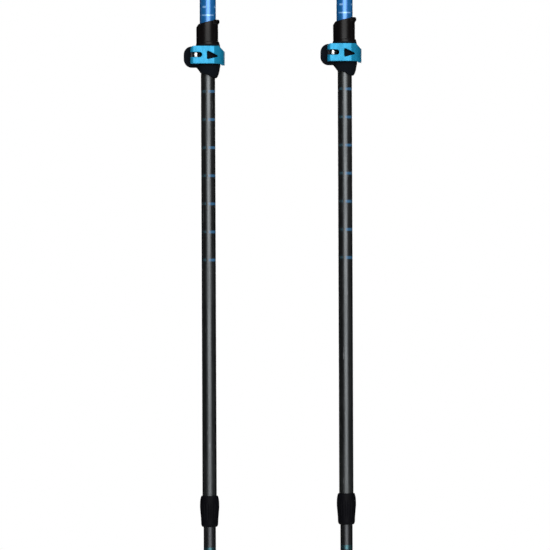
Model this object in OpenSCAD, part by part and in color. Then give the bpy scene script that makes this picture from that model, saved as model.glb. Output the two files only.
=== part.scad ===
// A pair of three-section telescopic trekking poles, drawn out to full length.
// Millimetres. The origin is the tip face of the left pole, on its axis,
// and +Z runs up the pole. The lever clamps face -Y, the wrist straps hang at +Y.

/* [Pair] */
// Distance between the axes of the two poles
pole_gap = 134; // [110:1:220]
// How much further the right pole's lower section is drawn out
right_extra = 2; // [0:1:20]

/* [Lengths] */
// Lower section below the twist collar, tip included
lower_reach = 430; // [350:1:520]
// Middle section between the twist collar and the lever clamp
mid_reach = 409; // [335:0.5:500]
// Upper section from the clamp's lower end to the top of the grip
upper_reach = 480.5; // [400:0.5:580]
// Length of tube that stays inside the next section
overlap = 98; // [80:1:120]

/* [Tubes] */
// Outside diameter of the upper tube
upper_od = 16; // [13:0.1:20]
// Wall of all three tubes
tube_wall = 0.9; // [0.7:0.05:1.1]
// Radial gap between one tube and the next
slide_gap = 0.1; // [0.05:0.01:0.1]

/* [Twist lock] */
// Length of the twist collar
collar_length = 30.5; // [25:0.5:38]
// Thickest part of the collar's wall around the middle tube
collar_swell = 2.5; // [2:0.1:3.5]
// Radius of the threaded stud
stud_r = 2.5; // [2:0.1:2.7]
// Length of the split expander shell
shell_length = 34; // [28:1:42]
// Travel of the spreader cone from locked to free
cone_travel = 1; // [0.5:0.1:2]

/* [Lever clamp] */
// Wall of the clamp's sleeve on the upper tube
sleeve_wall = 2.6; // [2:0.1:3.5]
// Wall of the clamp's band behind the lever
band_wall = 4.2; // [3.4:0.1:5.5]
// Clamp below the middle of the lever
clamp_skirt = 22.5; // [19:0.5:28]
// Lever height, along the pole
lever_h = 17.4; // [14.5:0.1:21]
// Lever thickness
lever_t = 2.2; // [1.8:0.1:3]
// Radius of the cam at the lever's pivot
cam_r = 5.6; // [5.2:0.1:6.5]
// How far the cam's centre lies off its pivot
cam_throw = 0.6; // [0.4:0.1:0.9]
// Thickness of each ear of the clamp
ear_t = 4.5; // [3.8:0.1:5.5]
// Slit between the two ears
slit = 1.6; // [1.2:0.1:2.2]

/* [Grip] */
// Length of the shaped grip below its head
grip_length = 102; // [90:1:125]
// Height of the grip's head
head_h = 30; // [30:1:36]
// Length of the soft sleeve below the grip
sleeve_length = 108; // [60:1:130]
// Wall of the soft sleeve
foam_wall = 5; // [4:0.5:7]

/* [Strap] */
// Width of the webbing
web_w = 16; // [13:0.5:17]
// Thickness of the webbing
web_t = 1.6; // [1.2:0.1:2]
// Distance from the strap pin to the middle of the wrist bend
strap_drop = 172; // [150:1:200]
// Inside radius of the wrist bend
wrist_r = 24; // [21:1:30]
// Thickness of the wrist pad
pad_t = 3; // [2:0.5:4]
// Width of the wrist pad
pad_w = 28; // [22:1:34]

/* [Tip] */
// Radius of the basket
basket_r = 27.5; // [23:0.5:33]
// Radius of the ferrule where a rubber cap slides on
ferrule_r = 5.5; // [4.6:0.1:6.6]
// Length of that part of the ferrule
ferrule_seat = 20; // [16:1:26]

/* [Hidden] */
$fn = 64;
glue_gap = 0.02;      // radial gap at a bonded joint
run_gap = 0.05;       // radial gap at a turning joint
soft_gap = 0.3;       // gap round webbing
web_gap = 0.15;       // between the webbing and its pad
bolt_r = 1.5;
bolt_gap = 0.1;
lip_out = 1;          // lip on the high side of the clamp's top
SIDES = ["left", "right"];

// Radii of the nested tubes
upper_r = upper_od / 2;
upper_in = upper_r - tube_wall;
mid_r = upper_in - slide_gap;
mid_in = mid_r - tube_wall;
lower_r = mid_in - slide_gap;
lower_in = lower_r - tube_wall;

// Heights on the left pole
shaft_foot = 46;                                  // lower tube's end in the ferrule
collar_neck = 3;                                  // collar below the middle tube
mid_foot = lower_reach + collar_neck;
lower_top = mid_foot + overlap;
clamp_foot = lower_reach + collar_length + mid_reach;
lever_z = clamp_foot + clamp_skirt;
upper_foot = lever_z + 10;
mid_top = upper_foot + overlap;
pole_top = clamp_foot + upper_reach;
head_foot = pole_top - head_h;
grip_foot = head_foot - grip_length;
upper_top = pole_top - 14;

// Twist lock, upwards from the lower tube's top
plug_flange = 3;
shell_z = lower_top + plug_flange + 0.1;
shell_r = mid_in - run_gap;
shell_floor = 6;
taper_low = stud_r + 0.7;
taper_high = shell_r - 1.15;
cone_z = shell_z + 10;
cone_length = shell_length - 8;
stud_stop_z = cone_z + cone_length + 14 + cone_travel;
key_w = 1.2;

// Clamp, about the pole's axis and the middle of the lever
sleeve_r = upper_r + sleeve_wall;
band_r = upper_r + band_wall;
sleeve_low = 30;                                  // top of the sleeve, low side
sleeve_high = 35.3;                               // top of the sleeve, high side
sleeve_shift = 0.6;                               // sleeve's outside, off towards the ears
ear_y = slit / 2 + ear_t;
ear_r = 8;                                        // corners of the ears
ear_x = -(upper_r + 7.7);
ear_low = -4;
ear_high = 0.6;
bolt_x = -(upper_r + 3.6);
lever_corner = 3.6;                               // rounding of the lever's cam end
washer_t = 1;
washer_x1 = bolt_x + 3.4;
barrel_r = 3;
pivot_y = -(ear_y + washer_t + cam_r + cam_throw + run_gap);
screw_head_r = 2.2;
screw_dome = 3.6;                                 // radius of the screw head's crown
lever_slot = 2 * (screw_head_r + soft_gap);
arc_r = band_r + 4.1;                             // outside of the lever's wrap
arm_back = band_r + 0.7;                          // back of the lever's flat arm
nut_r = 3.18;
nut_t = 2.3;

// Head and strap
pin_r = 2;
pin_y = 20;
pin_z = pole_top - 20;
pin_half = 12;
eye_r = pin_r + soft_gap + web_t;                 // outside of the strap round its pin
bend_r = wrist_r + web_t;
leg_angle = asin((bend_r - eye_r) / strap_drop);
hang_angle = leg_angle + 4.75;                    // lean of the loop off the vertical
swing = 100;
cavity_r = eye_r + 0.5;
cavity_half = web_w / 2 + 0.5;
wedge_y0 = 12.5;
wedge_y1 = 19;
wedge_half = 6.8;
wedge_gap = 0.2;

PIECES = [
    "grip_head", "grip", "grip_sleeve", "strap_pin", "strap", "strap_pad", "strap_wedge",
    "upper_shaft", "clamp_collar", "clamp_liner", "captive_nut", "cam_washer",
    "lever_barrel", "cam_lever", "tension_screw",
    "mid_shaft", "mid_guide", "twist_collar",
    "expander_shell", "spreader_cone", "stud_plug", "stud", "stud_stop",
    "lower_shaft", "tip_ferrule", "basket", "carbide_tip"
];
NODES = [for (side = SIDES, piece = PIECES) str(side, "_", piece)];
node = "all";

function drawn(side, piece) = node == "all" || node == str(side, "_", piece);
function unit(a) = [cos(a), sin(a)];
function signed_pow(v, p) = sign(v) * pow(abs(v), p);

// ---------- helpers ----------

// Puts a lower section in place: both tips stand on z = 0
module low_on(side) translate([side == "right" ? pole_gap : 0, 0, 0]) children();

// Puts a middle or upper section in place, drawn out further on the right pole
module high_on(side)
    low_on(side) translate([0, 0, side == "right" ? right_extra : 0]) children();

// Moves to the pole's axis at the middle of the lever
module at_clamp() translate([0, 0, lever_z]) children();

// Moves to the strap's pin
module at_pin() translate([0, pin_y, pin_z]) children();

module tube(r_out, r_in, z0, z1) translate([0, 0, z0]) difference() {
    cylinder(r = r_out, h = z1 - z0);
    translate([0, 0, -1]) cylinder(r = r_in, h = z1 - z0 + 2);
}

// Solid between y0 and y1 whose outline is drawn in x and z
module along_y(y0, y1) translate([0, y1, 0]) rotate([90, 0, 0]) linear_extrude(y1 - y0) children();

// Solid of width w about x = 0 whose outline is drawn in y and z
module along_x(w) rotate([90, 0, 90]) linear_extrude(w, center = true) children();

// A small bend at the origin, a larger one hanging below it, and the tangents between them
module teardrop(r_top, r_low, drop) {
    a = asin((r_low - r_top) / drop);
    top_step = (180 - 2 * a) / 10;
    low_step = (180 + 2 * a) / 20;
    polygon(concat(
        [for (i = [0 : 10]) r_top * unit(a + i * top_step)],
        [for (i = [0 : 20]) [0, -drop] + r_low * unit(180 - a + i * low_step)]
    ));
}

// Skin through level rings; each section is [z, reach to -Y, reach to +Y, half width]
module loft(sections, n = 32, squareness = 2.6) {
    last = len(sections) - 1;
    points = [
        for (s = sections, i = [0 : n - 1]) let (a = 360 * i / n)
            [s[3] * signed_pow(cos(a), 2 / squareness),
             (s[2] - s[1]) / 2 + (s[2] + s[1]) / 2 * signed_pow(sin(a), 2 / squareness),
             s[0]]
    ];
    sides = [
        for (k = [0 : last - 1], i = [0 : n - 1]) let (j = (i + 1) % n)
            [k * n + i, (k + 1) * n + i, (k + 1) * n + j, k * n + j]
    ];
    floor_face = [for (i = [0 : n - 1]) i];
    roof_face = [for (i = [n - 1 : -1 : 0]) last * n + i];
    polyhedron(points, concat([floor_face], sides, [roof_face]), convexity = 4);
}

// ---------- grip and strap ----------

module grip() color("#26282b") difference() {
    translate([0, 0, grip_foot]) loft([
        [0, 15.5, 16, 15], [4, 17, 17.2, 16.2], [9, 16.6, 16.8, 15.8], [18, 14.2, 15.2, 14],
        [32, 13.8, 15.6, 13.8], [50, 14.8, 16.8, 14.6], [66, 14.6, 16.8, 14.6],
        [80, 13.6, 15.6, 14], [grip_length - 9, 14.2, 15.4, 14.6], [grip_length, 16.2, 15.8, 15.6]
    ]);
    translate([0, 0, grip_foot - 1]) cylinder(r = upper_r + glue_gap, h = grip_length + 2);
}

// Room for the strap round its pin, and the sector that its two legs sweep
module strap_cavity() {
    circle(r = cavity_r);
    low = hang_angle - leg_angle - 90;
    high = hang_angle + leg_angle - 90 + swing;
    reach = 60;
    polygon([
        cavity_r * unit(low - 90), cavity_r * unit(low - 90) + reach * unit(low),
        1.6 * reach * unit((low + high) / 2),
        cavity_r * unit(high + 90) + reach * unit(high), cavity_r * unit(high + 90)
    ]);
}

module wedge_block(gap, top) {
    half = wedge_half + gap;
    translate([-half, wedge_y0 - gap, pin_z])
        cube([2 * half, wedge_y1 - wedge_y0 + 2 * gap, top - pin_z]);
}

module grip_head() color("#1d1f22") difference() {
    translate([0, 0, head_foot]) loft([
        [0, 17.5, 18, 16], [6, 20.5, 24, 16.6], [12, 22, 27, 16.8], [18, 21.5, 27, 16.6],
        [23, 19, 25, 15.2], [27, 14.5, 20.5, 12.4], [head_h, 7, 12, 7]
    ]);
    translate([0, 0, head_foot - 1])
        cylinder(r = upper_r + glue_gap, h = upper_top - head_foot + 1 + glue_gap);
    at_pin() along_x(2 * cavity_half) strap_cavity();
    at_pin() rotate([0, 90, 0]) cylinder(r = pin_r + glue_gap, h = 2 * pin_half, center = true);
    wedge_block(wedge_gap, pole_top);
}

module strap_pin() color("#b9bcc0")
    at_pin() rotate([0, 90, 0]) cylinder(r = pin_r, h = 2 * pin_half - 0.1, center = true);

// Plane of the loop: x of the outline runs to +Y and y runs up, leaning about the pin
module hung() at_pin() rotate([hang_angle, 0, 0]) children();

module strap() color("#202226") hung() along_x(web_w) difference() {
    teardrop(eye_r, bend_r, strap_drop);
    teardrop(pin_r + soft_gap, wrist_r, strap_drop);
}

module strap_pad() color("#35383c") hung() along_x(pad_w) intersection() {
    translate([0, -strap_drop]) difference() {
        circle(r = wrist_r - web_gap);
        circle(r = wrist_r - web_gap - pad_t);
    }
    translate([0, -strap_drop - wrist_r]) square([3 * wrist_r, 2 * wrist_r - 4], center = true);
}

module strap_wedge() color("#2b5f9a") difference() {
    wedge_block(0, pole_top - 1.5);
    at_pin() rotate([0, 90, 0])
        cylinder(r = eye_r + soft_gap + 0.05, h = 4 * wedge_half, center = true);
}

module grip_sleeve() color("#2a2c2e") translate([0, 0, grip_foot - sleeve_length]) difference() {
    r = upper_r + foam_wall;
    rotate_extrude() polygon([
        [upper_r + glue_gap, 0], [r - 2, 0], [r - 0.6, 0.8], [r, 2.4],
        [r, sleeve_length - 2], [r + 1, sleeve_length], [upper_r + glue_gap, sleeve_length]
    ]);
    for (z = [8 : 7 : sleeve_length - 8]) translate([0, 0, z]) rotate_extrude()
        translate([r + 0.7, 0]) circle(r = 1.5, $fn = 32);
}

// ---------- upper section ----------

module upper_shaft() color("#1f5fa8") tube(upper_r, upper_in, upper_foot, upper_top);

// What the clamp looks like from the front: an oblique top and a skirt cut away on one side
module clamp_outline() {
    slope = (sleeve_high - sleeve_low) / (2 * sleeve_r);
    far = band_r + 3;
    polygon([
        [-far, sleeve_low - 6], [-sleeve_r - sleeve_shift, sleeve_low - 2.6],
        [1.5 - sleeve_r, sleeve_low + 0.4], [far, sleeve_high + slope * (far - sleeve_r)],
        [far, -clamp_skirt], [7, -clamp_skirt], [3.5, 1.2 - clamp_skirt], [0, 3.2 - clamp_skirt],
        [-3.5, 4 - clamp_skirt], [-6.6, 4.6 - clamp_skirt], [0.8 - band_r, -11.8], [-far, -9]
    ]);
}

module ear(y0, y1) along_y(y0, y1) {
    for (z = [ear_low, ear_high]) translate([ear_x, z]) circle(r = ear_r);
    translate([ear_x - ear_r, ear_low]) square([ear_r, ear_high - ear_low]);
    translate([ear_x, ear_low - ear_r])
        square([2 - upper_r - ear_x, ear_high - ear_low + 2 * ear_r]);
}

// Lip on the high side of the sleeve's rim
module clamp_lip() intersection() {
    rotate_extrude() polygon([
        [sleeve_r - 1, sleeve_high - 5], [sleeve_r, sleeve_high - 5],
        [sleeve_r + lip_out, sleeve_high - 3.8], [sleeve_r + lip_out, sleeve_high - 1.8],
        [sleeve_r + 0.6, sleeve_high - 0.6], [sleeve_r - 1, sleeve_high - 0.6]
    ]);
    translate([sleeve_r * 0.6, -20, 0]) cube([20, 40, 60]);
}

// Room in the collar's side for the cam as it turns, and for the washer behind it
module cam_room() {
    h = lever_h + 0.8;
    translate([bolt_x, pivot_y, 0])
        cylinder(r = cam_r + cam_throw + soft_gap, h = h, center = true);
    translate([washer_x1 + 0.2 - 40, -ear_y - 20, -h / 2]) cube([40, 20, h]);
}

module clamp_collar() color("#17181b") at_clamp() difference() {
    union() {
        intersection() {
            union() {
                rotate_extrude() polygon([
                    [0, -clamp_skirt], [upper_r + 0.4, -clamp_skirt], [upper_r + 1.4, 1.3 - clamp_skirt],
                    [sleeve_r - 0.4, 3 - clamp_skirt], [band_r - 1.2, 5.5 - clamp_skirt],
                    [band_r - 0.6, -13.5], [band_r, -10.5],
                    [band_r, 7.5], [band_r - 0.4, 10], [sleeve_r + 0.5, 13], [0, 20]
                ]);
                translate([-sleeve_shift, 0, 0]) cylinder(r = sleeve_r + 0.2, h = 45);
            }
            along_y(-30, 30) clamp_outline();
        }
        clamp_lip();
        ear(slit / 2, ear_y);
        ear(-ear_y, -slit / 2);
    }
    cam_room();
    translate([0, 0, -30]) cylinder(r = upper_r + glue_gap, h = 80);
    translate([-40, -slit / 2, -30]) cube([40, slit, 30 + upper_foot - lever_z - 1]);
    translate([bolt_x, 0, 0]) rotate([90, 0, 0]) cylinder(r = bolt_r + bolt_gap, h = 40, center = true);
    translate([bolt_x, ear_y - nut_t - 0.1, 0]) rotate([-90, 0, 0])
        cylinder(r = nut_r + glue_gap, h = nut_t + 5, $fn = 6);
}

module clamp_liner() color("#8d9196") at_clamp() difference() {
    tube(upper_r - glue_gap, mid_r + run_gap, 5.5 - clamp_skirt, upper_foot - lever_z - 0.1);
    translate([-20, -slit / 2, -40]) cube([20, slit, 80]);
}

module captive_nut() color("#c4c8cc") at_clamp() translate([bolt_x, ear_y - nut_t, 0])
    rotate([-90, 0, 0]) difference() {
        cylinder(r = nut_r, h = nut_t, $fn = 6);
        translate([0, 0, -1]) cylinder(r = bolt_r + run_gap, h = nut_t + 2);
    }

module cam_washer() color("#9ea3a8") at_clamp() difference() {
    translate([washer_x1 - 8.4, -ear_y - washer_t, 0.2 - lever_h / 2])
        cube([8.4, washer_t, lever_h - 0.4]);
    translate([bolt_x, 0, 0]) rotate([90, 0, 0]) cylinder(r = bolt_r + bolt_gap, h = 40);
}

module lever_barrel() color("#b4b8bd") at_clamp() translate([bolt_x, pivot_y, 0]) difference() {
    cylinder(r = barrel_r, h = lever_h - 0.6, center = true);
    rotate([90, 0, 0]) cylinder(r = bolt_r + run_gap, h = 20, center = true);
}

module tension_screw() color("#e2e6ea") at_clamp() translate([bolt_x, 0, 0]) rotate([90, 0, 0])
    difference() {
        head_z = -pivot_y + barrel_r + run_gap;
        union() {
            translate([0, 0, -ear_y]) cylinder(r = bolt_r, h = ear_y + head_z + 0.5);
            intersection() {
                translate([0, 0, head_z]) cylinder(r = screw_head_r, h = 2.4);
                translate([0, 0, head_z + 2.4 - screw_dome]) sphere(r = screw_dome);
            }
        }
        translate([0, 0, head_z + 1]) cylinder(r = 0.9, h = 3, $fn = 6);
    }

// Lever seen from above: cam, flat arm and the wrap round the clamp's right side
module lever_plan() {
    wrap_x = 6.3;
    start = atan2(-sqrt(arc_r * arc_r - wrap_x * wrap_x), wrap_x);
    finish = 8;
    in_r = arc_r - lever_t;
    front = pivot_y + cam_throw - cam_r;
    corner_x = bolt_x - cam_r + lever_corner;
    translate([bolt_x, pivot_y + cam_throw]) circle(r = cam_r);
    translate([corner_x, front + lever_corner]) circle(r = lever_corner);
    polygon([
        [corner_x - lever_corner, pivot_y + cam_throw], [corner_x - lever_corner, front + lever_corner],
        [corner_x, front + lever_corner], [corner_x, front], [bolt_x + 2, front + 0.2],
        arc_r * unit(start), (arc_r - 0.1) * unit(start + 4), (in_r + 0.1) * unit(start + 4),
        [in_r * cos(start) - 2, -arm_back], [bolt_x, -arm_back], [bolt_x, pivot_y + cam_throw]
    ]);
    difference() {
        circle(r = arc_r);
        circle(r = in_r);
        polygon([
            [0, 0], 60 * unit(finish), 90 * unit(45), 90 * unit(135), 90 * unit(225), 60 * unit(start)
        ]);
    }
    translate((arc_r - lever_t / 2) * unit(finish)) circle(r = lever_t * 0.68);
}

// Lever seen from the front: one corner chamfered, a tail at the finger end
module lever_front() {
    half = lever_h / 2;
    left = bolt_x - cam_r - 1;
    right = arc_r + 3;
    polygon([
        [left, 1 - half], [left + 1.4, -half], [11.5, -half], [13.5, -half - 1.3],
        [right, -half - 1.3], [right, half - 5.3], [arc_r - 0.8, half - 4.7], [11, half],
        [left + 4, half], [left + 2, half - 1.2], [left + 1, half - 3.4], [left, half - 4]
    ]);
}

module cam_lever() color("#2f8fd0") at_clamp() difference() {
    intersection() {
        translate([0, 0, -lever_h]) linear_extrude(2 * lever_h) lever_plan();
        along_y(-40, 40) lever_front();
    }
    translate([bolt_x, pivot_y, 0]) cylinder(r = barrel_r + run_gap, h = 2 * lever_h, center = true);
    along_y(-40, 0) {
        translate([bolt_x - 20, -lever_slot / 2]) square([23.6, lever_slot]);
        translate([bolt_x + 3.6, 0]) circle(r = lever_slot / 2);
    }
    hull() for (p = [[0.4, 2.7], [0.4, -3.3], [8.8, -1.3]])
        translate([p[0], 0, p[1]]) rotate([90, 0, 0]) cylinder(r = 1, h = 40, $fn = 24);
}

// ---------- middle section ----------

module mid_shaft() color("#222427") tube(mid_r, mid_in, mid_foot, mid_top);

module mid_guide() color("#3a3d40") translate([0, 0, mid_top]) {
    cylinder(r = mid_r, h = 3);
    translate([0, 0, -12]) cylinder(r = mid_in - glue_gap, h = 12);
}

module twist_collar() color("#121316") translate([0, 0, lower_reach])
    rotate_extrude() difference() {
        polygon([
            [0, 0], [lower_r + 0.9, 0], [lower_r + 1.9, 0.7], [mid_r + 1.35, 2.6],
            [mid_r + 1.45, 6], [mid_r + collar_swell, collar_length - 11.8],
            [mid_r + collar_swell, collar_length - 8], [mid_r + 2, collar_length - 3],
            [mid_r + 1.5, collar_length - 0.6], [mid_r + 1, collar_length], [0, collar_length]
        ]);
        square([2 * (lower_r + slide_gap), 3 * collar_neck], center = true);
        translate([0, collar_neck]) square([mid_r + glue_gap, collar_length]);
    }

// ---------- twist lock ----------

module stud_plug() color("#c9ccd0") difference() {
    union() {
        translate([0, 0, lower_top - 15]) cylinder(r = lower_in - glue_gap, h = 15);
        translate([0, 0, lower_top]) cylinder(r = lower_r, h = plug_flange);
    }
    translate([0, 0, lower_top - 10]) cylinder(r = stud_r + glue_gap, h = 20);
}

module stud() color("#b7bbc0") translate([0, 0, lower_top - 10])
    cylinder(r = stud_r, h = stud_stop_z + 5 - lower_top + 10);

module stud_stop() color("#9a9ea3") translate([0, 0, stud_stop_z]) difference() {
    cylinder(r = shell_r - 1.3, h = 4, $fn = 6);
    translate([0, 0, -1]) cylinder(r = stud_r + glue_gap, h = 6);
}

module key_slots(w) for (a = [0, 180]) rotate([0, 0, a]) translate([0, -w / 2, 0])
    cube([shell_r + 2, w, 100]);

module expander_shell() color("#d9d4c4") translate([0, 0, shell_z]) difference() {
    rotate_extrude() polygon([
        [stud_r + 0.15, 0], [shell_r - 0.5, 0], [shell_r, 1], [shell_r, shell_length - 1],
        [shell_r - 0.4, shell_length], [taper_high, shell_length], [taper_low, shell_floor],
        [stud_r + 0.15, shell_floor]
    ]);
    translate([0, 0, shell_floor + 2]) key_slots(key_w);
}

module spreader_cone() color("#d0872e") {
    rise = (taper_high - taper_low) / (shell_length - shell_floor);
    low = taper_low + rise * (cone_z - shell_z - shell_floor) - run_gap;
    high = low + rise * cone_length;
    translate([0, 0, cone_z]) difference() {
        union() {
            cylinder(r1 = low, r2 = high, h = cone_length);
            intersection() {
                key_slots(key_w - 0.3);
                cylinder(r = shell_r - 0.6, h = cone_length - 1);
            }
        }
        translate([0, 0, -1]) cylinder(r = stud_r + run_gap, h = cone_length + 2);
    }
}

// ---------- lower section ----------

module lower_shaft() color("#1a1c1f") tube(lower_r, lower_in, shaft_foot, lower_top);

module tip_ferrule() color("#1b1c1e") difference() {
    seat = 12;
    seat_top = seat + ferrule_seat;
    rotate_extrude() polygon([
        [0, 5], [3.4, 5], [4.3, 6.5], [ferrule_r, seat], [ferrule_r, seat_top],
        [ferrule_r + 1, seat_top + 0.8], [ferrule_r + 1, seat_top + 10],
        [lower_r + 1.3, shaft_foot], [lower_r + 1.3, shaft_foot + 12], [lower_r + 0.6, shaft_foot + 16],
        [0, shaft_foot + 16]
    ]);
    translate([0, 0, 4]) cylinder(r = 2.6 + glue_gap, h = 10);
    translate([0, 0, shaft_foot]) cylinder(r = lower_r + glue_gap, h = 40);
}

module basket() color("#202225") {
    hub_r = ferrule_r + 1 + run_gap;
    foot = 12 + ferrule_seat + 1.2;
    translate([0, 0, foot]) difference() {
        rotate_extrude() polygon([
            [hub_r, 0], [hub_r + 2.4, 0], [hub_r + 2.6, 3], [basket_r - 2, 6.2], [basket_r - 0.5, 5.4],
            [basket_r, 6.4], [basket_r - 0.4, 8.4], [basket_r - 2.4, 8.2], [hub_r + 2.4, 5.4],
            [hub_r + 1.8, 8.6], [hub_r, 8.6]
        ]);
        for (a = [0 : 45 : 315]) rotate([0, 0, a]) translate([(hub_r + basket_r) / 2 + 0.6, 0, -1])
            cylinder(r = (basket_r - hub_r) * 0.19, h = 20);
    }
}

module carbide_tip() color("#a9adb2") difference() {
    rotate_extrude() polygon([
        [0, 0], [1.7, 0], [2, 0.5], [2, 2.2], [2.6, 3.4], [2.6, 13.9], [0, 13.9]
    ]);
    for (a = [0, 90]) rotate([0, 0, a]) for (x = [-2.1, 2.1])
        translate([x, 0, -0.5]) rotate([0, 45, 0]) cube([0.9, 6, 0.9], center = true);
}

for (side = SIDES) {
    if (drawn(side, "grip_head")) high_on(side) grip_head();
    if (drawn(side, "grip")) high_on(side) grip();
    if (drawn(side, "grip_sleeve")) high_on(side) grip_sleeve();
    if (drawn(side, "strap_pin")) high_on(side) strap_pin();
    if (drawn(side, "strap")) high_on(side) strap();
    if (drawn(side, "strap_pad")) high_on(side) strap_pad();
    if (drawn(side, "strap_wedge")) high_on(side) strap_wedge();
    if (drawn(side, "upper_shaft")) high_on(side) upper_shaft();
    if (drawn(side, "clamp_collar")) high_on(side) clamp_collar();
    if (drawn(side, "clamp_liner")) high_on(side) clamp_liner();
    if (drawn(side, "captive_nut")) high_on(side) captive_nut();
    if (drawn(side, "cam_washer")) high_on(side) cam_washer();
    if (drawn(side, "lever_barrel")) high_on(side) lever_barrel();
    if (drawn(side, "cam_lever")) high_on(side) cam_lever();
    if (drawn(side, "tension_screw")) high_on(side) tension_screw();
    if (drawn(side, "mid_shaft")) high_on(side) mid_shaft();
    if (drawn(side, "mid_guide")) high_on(side) mid_guide();
    if (drawn(side, "twist_collar")) high_on(side) twist_collar();
    if (drawn(side, "expander_shell")) low_on(side) expander_shell();
    if (drawn(side, "spreader_cone")) low_on(side) spreader_cone();
    if (drawn(side, "stud_plug")) low_on(side) stud_plug();
    if (drawn(side, "stud")) low_on(side) stud();
    if (drawn(side, "stud_stop")) low_on(side) stud_stop();
    if (drawn(side, "lower_shaft")) low_on(side) lower_shaft();
    if (drawn(side, "tip_ferrule")) low_on(side) tip_ferrule();
    if (drawn(side, "basket")) low_on(side) basket();
    if (drawn(side, "carbide_tip")) low_on(side) carbide_tip();
}
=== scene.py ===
# %% [markdown]
# # A pair of telescopic trekking poles
# Each pole is three aluminium tubes that slide into each other. A lever clamp holds the upper and
# middle tubes, and a twist lock inside the black collar holds the middle and lower ones. The packed
# model already has every tube, lever and screw in its place, so this lesson gives those pieces their
# finishes and models what an engineer's model leaves plain: foam, webbing, padding and print.

# %% Load the frame
import math

import bmesh
import bpy
import numpy as np
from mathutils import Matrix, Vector


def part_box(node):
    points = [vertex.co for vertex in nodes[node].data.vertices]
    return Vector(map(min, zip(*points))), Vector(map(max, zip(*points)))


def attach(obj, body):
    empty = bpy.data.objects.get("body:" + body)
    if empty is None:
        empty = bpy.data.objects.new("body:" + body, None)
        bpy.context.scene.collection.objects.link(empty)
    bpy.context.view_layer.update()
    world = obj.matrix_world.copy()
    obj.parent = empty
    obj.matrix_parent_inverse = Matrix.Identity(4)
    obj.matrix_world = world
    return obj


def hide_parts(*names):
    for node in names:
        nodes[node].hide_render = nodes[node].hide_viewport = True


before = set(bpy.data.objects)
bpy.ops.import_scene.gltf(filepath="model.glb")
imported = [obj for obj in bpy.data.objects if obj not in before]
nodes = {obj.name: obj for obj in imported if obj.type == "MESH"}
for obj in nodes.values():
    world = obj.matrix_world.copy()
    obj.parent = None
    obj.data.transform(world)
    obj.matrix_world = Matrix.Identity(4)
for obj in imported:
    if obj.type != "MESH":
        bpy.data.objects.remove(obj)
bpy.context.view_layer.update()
SIDES = ("left", "right")
MM = 0.001

# %% [markdown]
# Every place below comes from the frame. The axis of a pole is the middle of its middle tube's box,
# and the heights of the clamp, the collar and the grip are read off their own boxes, so the looks
# follow if the model changes.

# %% Places read off the frame


def middle(node):
    """The centre of a node's box."""
    low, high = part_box(node)
    return (low + high) / 2


def place(side):
    """The heights and the axis that the pieces of one pole are hung on."""
    return {
        "x": middle(side + "_mid_shaft").x,
        "lever_z": middle(side + "_cam_washer").z,
        "collar_foot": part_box(side + "_twist_collar")[0].z,
        "grip_foot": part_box(side + "_grip")[0].z,
        "head_foot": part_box(side + "_grip_head")[0].z,
        "top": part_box(side + "_grip_head")[1].z,
    }


def put(name, data):
    """A new object in the scene."""
    made = bpy.data.objects.new(name, data)
    bpy.context.scene.collection.objects.link(made)
    return made


places = {side: place(side) for side in SIDES}
for side in SIDES:
    print(side, {key: round(value, 4) for key, value in places[side].items()})

# %% [markdown]
# The view is square on to the pair and almost without perspective, as from far off with a long lens.
# A very long lens at the matching distance gives that, and the camera is turned by a fifth of a degree
# because the poles lean by that much.

# %% Camera
VIEW_WIDTH = 0.539
LENS_MM = 300
SENSOR_MM = 36
VIEW_RIGHT_OF_LEFT_POLE = 0.0649
VIEW_BELOW_LEVER = 0.2155
ROLL = math.radians(0.22)

camera_data = bpy.data.cameras.new("camera")
camera_data.lens = LENS_MM
camera_data.sensor_width = SENSOR_MM
camera_data.clip_end = 50
camera = put("camera", camera_data)
camera_distance = VIEW_WIDTH * LENS_MM / SENSOR_MM
camera.location = (
    places["left"]["x"] + VIEW_RIGHT_OF_LEFT_POLE,
    -camera_distance,
    places["left"]["lever_z"] - VIEW_BELOW_LEVER,
)
camera.rotation_euler = (math.pi / 2, ROLL, 0)
bpy.context.scene.camera = camera
print("camera is", round(camera_distance, 2), "m away")

# %% [markdown]
# The next helpers keep the shader trees short. One fills or links a node's inputs, one adds a node, and
# the others are the few kinds of arithmetic that the finishes need.

# %% Shader helpers


def feed(tree, sockets, values):
    """Fills each named socket with a plain value or links it to another node's output."""
    for key, value in values.items():
        if isinstance(value, bpy.types.NodeSocket):
            tree.links.new(value, sockets[key])
        else:
            sockets[key].default_value = value


def add(tree, kind, inputs=None, **settings):
    """Adds a shader node; an input may be a plain value or another node's output."""
    made = tree.nodes.new("ShaderNode" + kind)
    for key, value in settings.items():
        setattr(made, key, value)
    feed(tree, made.inputs, inputs or {})
    return made


def calc(tree, operation, *values):
    """One arithmetic step; returns its output."""
    return add(tree, "Math", dict(enumerate(values)), operation=operation).outputs[0]


def ramp(tree, value, low, high, start=0.0, end=1.0):
    """Maps low..high smoothly to start..end; returns its output."""
    limits = {"Value": value, "From Min": low, "From Max": high, "To Min": start, "To Max": end}
    return add(tree, "MapRange", limits, interpolation_type="SMOOTHSTEP").outputs["Result"]


def mix(tree, factor, first, second):
    """Blends two colours; returns its output."""
    return add(tree, "Mix", {0: factor, 6: first, 7: second}, data_type="RGBA").outputs[2]


def stretched(tree, scale):
    """Object coordinates stretched by a different amount along each axis."""
    where = add(tree, "TexCoord").outputs["Object"]
    return add(tree, "Mapping", {"Vector": where, "Scale": scale}).outputs["Vector"]


def noise(tree, where, scale, detail, roughness=0.5):
    """Fractal noise, about 0.5 on average."""
    return add(tree, "TexNoise", {"Vector": where, "Scale": scale, "Detail": detail,
                                  "Roughness": roughness}).outputs["Fac"]


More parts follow.
